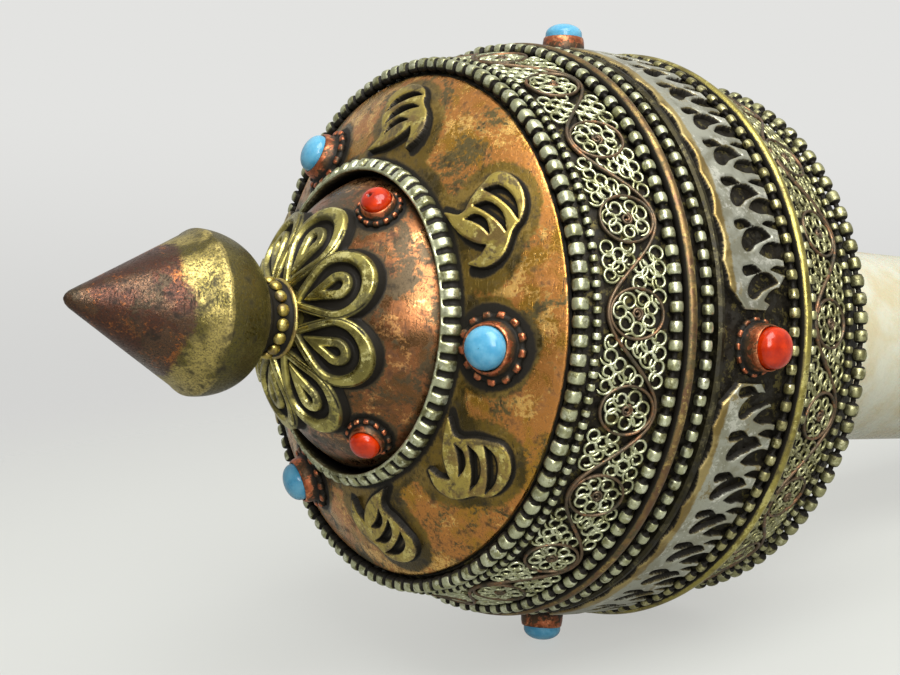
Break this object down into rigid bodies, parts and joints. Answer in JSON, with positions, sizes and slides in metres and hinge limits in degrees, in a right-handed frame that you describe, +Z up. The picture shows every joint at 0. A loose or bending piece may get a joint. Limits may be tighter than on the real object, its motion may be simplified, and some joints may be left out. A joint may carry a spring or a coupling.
{
  "type": "prayer wheel",
  "caption": "Hand-held prayer wheel: domed metal head with stone cabochons that spins on a steel spindle in a pale stone grip, with a lift-off lid and a paper scroll.",
  "frame": {"origin": "centre of the flat foot under the pommel cap", "axes": "+Z up the spindle towards the finial, +X through one of the coral stones on the drum"},
  "size_m": [0.0772, 0.0772, 0.2012],
  "materials": {
    "grip_stone": "polished pale stone with a yellowish cloud and a brown vein",
    "aged_silver": "worn silver plate with dark oxidised recesses",
    "copper": "rubbed copper with brassy patches and dark patina",
    "dark_copper": "near-black oxidised copper",
    "brass": "aged brass, bright on the ridges",
    "steel": "turned bright steel",
    "turquoise": "glossy cabochon",
    "coral": "glossy cabochon",
    "paper": "rolled handmade paper",
    "paper_tie": "glued paper band"
  },
  "bodies": {
    "handle": {"pommel_cap": "aged_silver", "pommel_bead_ring": "aged_silver", "handle_grip": "grip_stone", "spindle": "steel", "spindle_nut": "steel", "ferrule": "aged_silver", "ferrule_bead_ring": "aged_silver", "thrust_washer": "grip_stone"},
    "drum": {"drum_shell": "dark_copper", "drum_floor": "copper", "drum_lower_bush": "brass", "drum_collar": "copper", "drum_rim_wire": "brass", "ornament_band": "aged_silver", "band_turquoise_stones": "turquoise", "band_coral_stones": "coral", "band_bezels": "copper", "drum_brass_beads": "brass", "drum_rib_wire": "brass", "drum_small_beads": "aged_silver", "drum_filigree_vine": "copper", "drum_filigree_curls": "aged_silver", "drum_lower_beads": "aged_silver", "drum_bottom_beads": "aged_silver"},
    "lid": {"lid_skirt": "dark_copper", "shoulder_dome": "copper", "shoulder_ornaments": "brass", "shoulder_turquoise_stones": "turquoise", "shoulder_bezels": "copper", "crown_ring": "aged_silver", "crown_dome": "copper", "crown_coral_stones": "coral", "crown_bezels": "copper", "lotus_rosette": "brass", "lid_upper_bush": "brass", "lid_big_beads": "aged_silver", "lid_small_beads": "aged_silver", "lid_filigree_vine": "copper", "lid_filigree_curls": "aged_silver", "lid_medium_beads": "aged_silver", "lid_rib_wire": "copper", "lid_edge_beads": "aged_silver"},
    "finial": {"finial": "dark_copper", "finial_collar": "brass"},
    "scroll": {"scroll_paper": "paper", "scroll_core": "dark_copper", "scroll_band": "paper_tie"}
  },
  "joints": [
    {"name": "head_spin", "type": "hinge", "parent": "handle", "child": "drum", "pos_m": [0, 0, 0.1468], "axis": [0, 0, 1], "continuous": true},
    {"name": "finial_lift", "type": "slide", "parent": "handle", "child": "finial", "axis": [0, 0, 1], "range_m": [0, 0.12]},
    {"name": "lid_lift", "type": "slide", "parent": "drum", "child": "lid", "axis": [0, 0, 1], "range_m": [0, 0.0961]},
    {"name": "scroll_lift", "type": "slide", "parent": "drum", "child": "scroll", "axis": [0, 0, 1], "range_m": [0, 0.0751]}
  ],
  "couplings": [
    {"joint": "lid_lift", "follows": "finial_lift", "ratio": 0.8},
    {"joint": "scroll_lift", "follows": "finial_lift", "ratio": 0.625}
  ]
}
